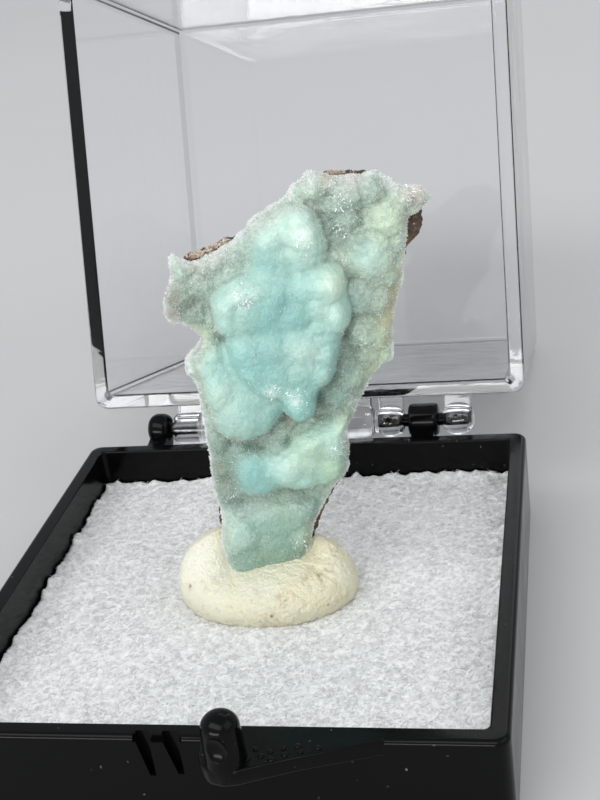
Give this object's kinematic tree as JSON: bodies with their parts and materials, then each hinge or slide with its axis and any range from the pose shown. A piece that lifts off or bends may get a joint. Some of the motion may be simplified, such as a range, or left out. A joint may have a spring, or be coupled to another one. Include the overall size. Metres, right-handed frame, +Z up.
{
  "type": "hemimorphite specimen in a hinged display box",
  "caption": "Thin lobed blue-green mineral crust on brown matrix, standing in putty on a foam pad in a small black box with a clear hinged lid.",
  "frame": {"origin": "centre of the tray's underside, which rests on the surface", "axes": "+Z up, -Y towards the catch and the specimen's face, +Y towards the hinge, +X to the right"},
  "size_m": [0.034, 0.0772, 0.0421],
  "materials": {
    "black_plastic": "glossy black moulded polystyrene with dust specks",
    "clear_plastic": "clear moulded polystyrene",
    "white_foam": "white open foam with crinkled cells",
    "cream_putty": "cream mineral putty, thumbed, with fine ridges and specks",
    "hemimorphite": "pale blue-green lobes under a drusy skin of tiny crystals",
    "brown_matrix": "rough porous brown iron oxide"
  },
  "bodies": {
    "tray_body": {"tray": "black_plastic", "foam_pad": "white_foam", "putty": "cream_putty", "hemimorphite_crust": "hemimorphite", "limonite_matrix": "brown_matrix"},
    "lid_body": {"lid": "clear_plastic"}
  },
  "joints": [
    {"name": "lid_hinge", "type": "hinge", "parent": "tray_body", "child": "lid_body", "pos_m": [0, 0.0188, 0.00715], "axis": [-1, 0, 0], "range_deg": [-107.8, 99.5]}
  ]
}
